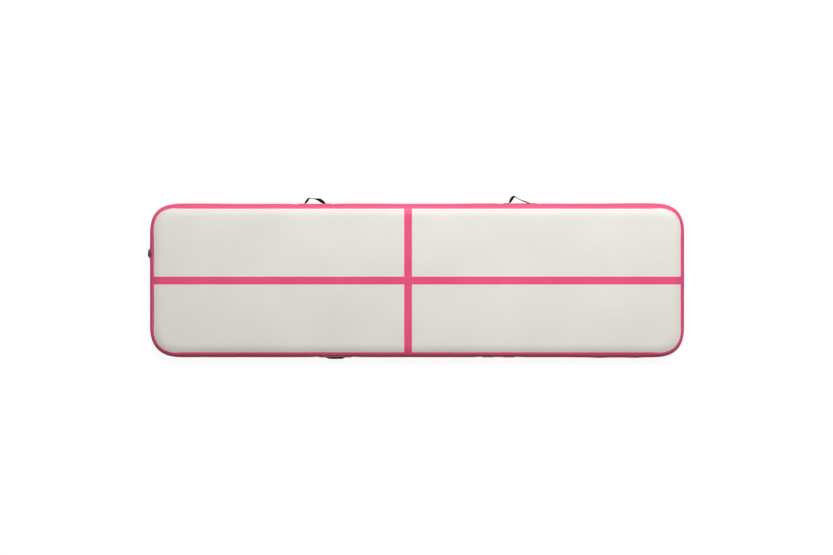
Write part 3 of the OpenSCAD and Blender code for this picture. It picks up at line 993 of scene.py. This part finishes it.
def swept(points, way, girth):
    """A closed solid through rows of rings: way is each row's distance along, and girth the distance round
    a ring. Both ends are closed by narrow quads across them."""
    rows, columns = points.shape[:2]
    faces, corners = ring_quads(rows, columns)
    uvs = np.stack([np.stack([way[row], girth[column]], -1) for row, column in corners], 1)
    ends, end_uvs = [], []
    for first in (0, (rows - 1) * columns):
        for k in range(columns // 2 - 1):
            ends.append([first + q for q in (k, k + 1, columns - 2 - k, columns - 1 - k)])
            end_uvs.append([[0.0, END_UV_STEP * k]] * 4)
    return points.reshape(-1, 3), np.concatenate([faces, ends]), np.concatenate([uvs, end_uvs])


def webbing_strap(place, knots, first=0.0, last=1.0, count=150):
    """A strap swept along knots of (a, out, up, width's direction, bow, slant). a is along the mat, out is
    beyond the mat's outline, the strap is bowed to the bulge where it lies on it, and its cross-section is
    slanted along it where it bends askew. first and last are the share of its length to make."""
    path, way = smooth_path(knots, count)
    keep = slice(round(first * (count - 1)), round(last * (count - 1)) + 1)
    centre, width, bow, slant = path[:, :3], path[:, 3:6], path[:, 6:7], path[:, 7:8]
    along = np.gradient(centre, axis=0)
    along /= np.linalg.norm(along, axis=1)[:, None]
    width = width - along * np.sum(along * width, axis=1)[:, None]
    width /= np.linalg.norm(width, axis=1)[:, None]
    out = np.cross(along, width)
    flip = np.sign(out[count // 2, 1]) or 1.0
    shape = strap_outline()
    across, proud = shape.T
    sag = -bow * across ** 2 / (2 * (SIDE_R + STRAP_LIFT))
    points = (centre[:, None] + (width + slant * along)[:, None] * across[None, :, None]
              + out[:, None] * (flip * (proud[None] + sag))[..., None])
    points = place(points[..., 0], SHOULDER_W + SKIN + points[..., 1], points[..., 2])[keep]
    return swept(points, way[keep], way_round(shape))


# Knots are written in millimetres
MM = 0.001
MIDDLE_MM = 50
UPRIGHT = (0, 0, 1)
OUT_AT_WALL = (STRAP_LIFT - SKIN - DENT - COVER_DENT) / MM


def in_metres(knots):
    return [(a * MM, out * MM, up * MM, *rest) for a, out, up, *rest in knots]


def in_cover(sign):
    """Knots of the sewn end inside its cover, from its cut end to the mouth."""
    return [(sign * a, OUT_AT_WALL, MIDDLE_MM, *UPRIGHT, 1, 0) for a in (102, 88, 76)]


def level_loop(free):
    """Knots of a loop that stands out level from the bulge; free holds (a, out, width's direction, slant)."""
    loop = [(a, out, MIDDLE_MM, *width, 0, slant) for a, out, width, slant in free]
    return in_metres(in_cover(-1) + loop + in_cover(1)[::-1])


def even_loop(half, crown):
    """Knots of a loop whose two legs are alike."""
    leg = [(a, (out, up, 0, wy, wz, bow, 0)) for a, out, up, wy, wz, bow in half + [crown]]
    left, right = ([(sign * a, *rest) for a, rest in leg] for sign in (-1, 1))
    return in_metres(in_cover(-1) + left + right[-2::-1] + in_cover(1)[::-1])


def hanging_loop():
    """Knots of a loop that has dropped: its crown turns flat and lies in under the bulge."""
    half = [(69, 0.0, 49.5, 0, 1, 0.9), (65.5, 0.0, 44, 0.15, 0.98, 0.6), (61.5, -0.6, 35.5, 0.35, 0.93, 0.2),
            (56, -2.0, 25, 0.65, 0.76, 0), (47, -1.0, 15.5, 0.92, 0.38, 0), (34, 0.1, 10.5, 0.99, 0.14, 0),
            (18, 0.7, 8.4, 1, 0.07, 0)]
    return even_loop(half, (0, 0.9, 7.7, 1, 0.05, 0))


def loop_on_bulge(fall, gap):
    """Knots of a loop that has dropped flat against the lower half of the bulge: its crown is fall degrees
    below the middle height, and it stands off by gap."""
    def knot(a, share):
        turn = math.radians(fall * share)
        c, s = math.cos(turn), math.sin(turn)
        r = (SIDE_R + STRAP_LIFT - dent(a * MM)) / MM + gap * share
        return a, r * c - (SIDE_R + SKIN) / MM, MIDDLE_MM - r * s, s, c, 1

    half = [knot(*k) for k in ((69, 0.01), (62, 0.14), (52, 0.42), (38, 0.74), (20, 0.94))]
    return even_loop(half, knot(0, 1.0))


def leaning(turn, sign):
    """The width's direction on a leg that has rolled by turn degrees, its top edge outwards and to sign."""
    c, s = math.cos(math.radians(turn)), math.sin(math.radians(turn))
    return (sign * 0.72 * s, 0.69 * s, c)


STRAP_KNOTS = {
    "far_left": level_loop([
        (-69, 0.0, UPRIGHT, 0), (-64.5, 2.8, leaning(10, -1), 0), (-60, 8.2, leaning(22, -1), 0),
        (-55, 14.6, leaning(29, -1), 0), (-49, 23, leaning(30, -1), 0), (-43.5, 31, leaning(22, -1), 0),
        (-37, 36.0, leaning(11, -1), 0), (-28, 35.6, leaning(6, -1), 0), (-16, 33.8, leaning(5, 1), 0.05),
        (-4, 31.8, leaning(9, 1), 0.25), (7, 30.4, leaning(18, 1), 0.5), (17, 29.0, leaning(34, 1), 0.75),
        (26, 26.4, leaning(50, 1), 0.95), (35, 21.2, leaning(58, 1), 1.0), (43, 15.0, leaning(58, 1), 1.0),
        (50, 9.6, leaning(52, 1), 0.9), (58, 4.8, leaning(36, 1), 0.6), (69, 0.0, UPRIGHT, 0)]),
    "far_right": level_loop([
        (-70, 0.2, UPRIGHT, 0), (-69.0, 4.4, leaning(12, -1), 0), (-65.0, 12.0, leaning(34, -1), 0),
        (-60.0, 21.5, leaning(46, -1), 0), (-53.5, 32, leaning(50, -1), 0), (-46, 41.0, leaning(44, -1), 0),
        (-35, 45.6, leaning(26, -1), 0), (-27, 42.4, leaning(14, -1), 0), (-20, 37.0, leaning(10, -1), 0),
        (-8, 30.2, leaning(9, -1), 0), (7, 23.2, leaning(10, -1), 0), (31, 13.4, leaning(11, 1), 0),
        (51, 6.4, leaning(11, 1), 0), (61, 2.4, leaning(6, 1), 0), (69, 0.0, UPRIGHT, 0)]),
    "near_left": hanging_loop(),
    "near_right": loop_on_bulge(44, 2.5),
}

# Where a loop starts to bend as it swings, and where it follows wholly. A far loop starts ROOT_LIFT out from
# its patch's face and takes ROOT_REACH; a near loop's points are each (along from the middle, height).
ROOT_LIFT = 0.002
ROOT_REACH = 0.030
LEG_BEND = ((0.066, 0.045), (0.025, 0.012))


def handle(name, knots):
    """A handle's base patch, its strap, and the sewn covers over the strap's ends."""
    x0, side = HANDLES[name]
    place = on_long_side(x0, side)
    base = side_patch("pvc_handle_base_" + name, place, PATCH_LENGTH, PATCH_HEIGHT, PATCH_CORNER,
                      "handle_patch_" + name)
    covers = [cover_over_strap(place, sign) for sign in (-1, 1)]
    cover = make("pvc_strap_covers_" + name, *joined(*(solid for solid, _ in covers)), "pink_pvc", merge=True)
    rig.replaces(cover, "strap_covers_" + name)
    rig.sheet(cover, flat=(COVER_HEIGHT, 2 * COVER_LENGTH), held="stretched", rests_on=[base],
             area=sum(area for _, area in covers))
    seams = [stitches(place, sign) for sign in (-1, 1)]
    make("cover_stitching_" + name, *joined(*seams), "pink_pvc", sharp=STITCH_CREASE)
    body, pivot = "strap_" + name, HALF_WIDTH + PATCH_OUT - SKIN + ROOT_LIFT
    if side > 0:
        strap = make("webbing_" + name, *webbing_strap(place, knots), "black_webbing", body=None,
                     sharp=STRAP_CREASE)
        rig.replaces(strap, "strap_loop_" + name, "strap_ends_" + name)
        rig.blend(strap, "mat", body, (x0, pivot, MIDDLE), (x0, pivot + ROOT_REACH, MIDDLE))
        return
    # A dropped loop turns over by nearly half a turn, so each half bends along its own leg
    halves = (("left", 0.0, 0.5, -1, "strap_loop_"), ("right", 0.5, 1.0, 1, "strap_ends_"))
    for half, first, last, sign, node in halves:
        strap = make(f"webbing_{name}_{half}_half", *webbing_strap(place, knots, first, last, 151),
                     "black_webbing", body=None, sharp=STRAP_CREASE)
        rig.replaces(strap, node + name)
        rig.blend(strap, "mat", body, *((x0 + sign * along, -pivot, height) for along, height in LEG_BEND))


for name, knots in STRAP_KNOTS.items():
    handle(name, knots)

side_patch("pvc_valve_patch", on_left_end(VALVE_Y), VALVE_PATCH_LENGTH, VALVE_PATCH_HEIGHT,
           VALVE_PATCH_CORNER, "valve_patch", hole=VALVE_HOLE_R)

# ---- The valve's return spring, which shortens as the plunger is pressed ----

SPRING_WIRE_R = 0.00045
SPRING_TURNS = 5.5
STEPS_PER_TURN = 24
WIRE_SIDES = 10
PLUNGER_TRAVEL = 0.005


def return_spring():
    """A coil whose end turns lie close together, from the hub outwards."""
    low, high = (Vector(corner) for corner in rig.box("valve_spring"))
    middle = (low + high) / 2
    share = np.linspace(0, 1, round(SPRING_TURNS * STEPS_PER_TURN) + 1)
    turn = 2 * math.pi * SPRING_TURNS * share
    radius = (high.y - low.y) / 2 - SPRING_WIRE_R
    depth = high.x - SPRING_WIRE_R - (high.x - low.x - 2 * SPRING_WIRE_R) * smooth(share)
    radial = np.stack([0 * turn, np.cos(turn), np.sin(turn)], -1)
    centre = np.stack([depth, middle.y + 0 * turn, middle.z + 0 * turn], -1) + radius * radial
    along = np.gradient(centre, axis=0)
    along /= np.linalg.norm(along, axis=1)[:, None]
    side = np.cross(along, radial)
    angle = np.linspace(0, 2 * math.pi, WIRE_SIDES, endpoint=False)[:, None]
    ring = np.cos(angle) * radial[:, None] + np.sin(angle) * side[:, None]
    rings = centre[:, None] + SPRING_WIRE_R * ring
    piece = make("return_spring", *swept(rings, radius * turn, way_round(rings[0])), "steel",
                 sharp=STRAP_CREASE)
    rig.replaces(piece, "valve_spring")
    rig.squash(piece, "valve_plunger_press", axis=(1, 0, 0), anchor=(high.x, middle.y, middle.z),
              keep=1 - PLUNGER_TRAVEL / (high.x - low.x))


return_spring()

# ---- CAD parts that stay: only their finish changes ----

for name, part in frame["nodes"].items():
    for slot in part.material_slots:
        slot.material = MATERIALS[SLOT_OF[name]]

# ---- Floor, light and camera ----

FLOOR_REACH = 60.0
FLOOR_DROP = 0.0002
FLOOR_GLOW = 0.93
BACKDROP_HEIGHT = 45.0
SKY_TINT = (1.0, 0.988, 0.962, 1)
floor_material, _, _ = new_material("pale floor", (0.12, 0.12, 0.12), 0.9, Emission_Color=(1, 1, 1, 1),
                                    Emission_Strength=FLOOR_GLOW, Specular_IOR_Level=0.0)


def stage_piece(name, corners, faces):
    """A part of the pale studio, which the object's own shading doesn't pick up."""
    mesh = bpy.data.meshes.new(name)
    mesh.from_pydata(corners, [], faces)
    mesh.materials.append(floor_material)
    piece = bpy.data.objects.new(name, mesh)
    bpy.context.scene.collection.objects.link(piece)
    piece.visible_diffuse = False
    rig.stage(piece)
    return piece


square = [(FLOOR_REACH * x, FLOOR_REACH * y) for x, y in ((-1, -1), (1, -1), (1, 1), (-1, 1))]
ground = [(x, y, -FLOOR_DROP) for x, y in square]
stage_piece("floor", ground, [(0, 1, 2, 3)])
backdrop = stage_piece("backdrop", ground + [(x, y, BACKDROP_HEIGHT) for x, y in square],
                       [(k, (k + 1) % 4, 4 + (k + 1) % 4, 4 + k) for k in range(4)])
backdrop.visible_glossy = backdrop.visible_shadow = False


def soft_sky(strength, below):
    """A white dome that dims towards the horizon, to the share below of its strength under it."""
    world = bpy.data.worlds.new("studio")
    world.use_nodes = True
    nodes, links = world.node_tree.nodes, world.node_tree.links
    kinds = ("MapRange", "TexCoord", "SeparateXYZ")
    dimming, direction, level = (nodes.new("ShaderNode" + kind) for kind in kinds)
    links.new(direction.outputs["Generated"], level.inputs[0])
    links.new(level.outputs["Z"], dimming.inputs["Value"])
    ranges = {"From Min": -0.05, "From Max": 0.45, "To Min": below * strength, "To Max": strength}
    for socket, value in ranges.items():
        dimming.inputs[socket].default_value = value
    links.new(dimming.outputs[0], nodes["Background"].inputs["Strength"])
    nodes["Background"].inputs["Color"].default_value = SKY_TINT
    return world


bpy.context.scene.world = soft_sky(0.215, 0.15)


def soft_light(name, place, aim, size, power):
    """A softbox of size (along, across), which the camera doesn't see."""
    lamp = bpy.data.lights.new(name, "AREA")
    lamp.shape, lamp.energy = "RECTANGLE", power
    lamp.size, lamp.size_y = size
    lamp.color = (1.0, 1.0, 1.02)
    light = bpy.data.objects.new(name, lamp)
    light.location = place
    light.rotation_euler = (Vector(aim) - Vector(place)).to_track_quat("-Z", "Y").to_euler()
    light.visible_camera = False
    bpy.context.scene.collection.objects.link(light)


soft_light("key", (1.0, 4.6, 5.4), (0.1, 0, 0), (8.0, 2.2), 695)

# The camera looks straight down. PIXEL is the width at the mat's middle height that one pixel covers.
PIXEL = 0.006508
LENS = 56.3
SENSOR = 36.0
PICTURE_WIDTH = 833
CAMERA_OVER = (-0.0036, 0.0195)
camera_height = PIXEL * PICTURE_WIDTH * LENS / SENSOR
camera = bpy.data.objects.new("camera", bpy.data.cameras.new("camera"))
camera.data.lens, camera.data.sensor_width = LENS, SENSOR
camera.location = (*CAMERA_OVER, MIDDLE + camera_height)
bpy.context.scene.collection.objects.link(camera)
bpy.context.scene.camera = camera
bpy.context.scene.view_settings.view_transform = "Standard"

visual_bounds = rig.bounds()
with open("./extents.json", "w") as out:
    json.dump({"cad": [list(map(float, p)) for p in cad_bounds],
               "visual": [list(map(float, p)) for p in visual_bounds]}, out)
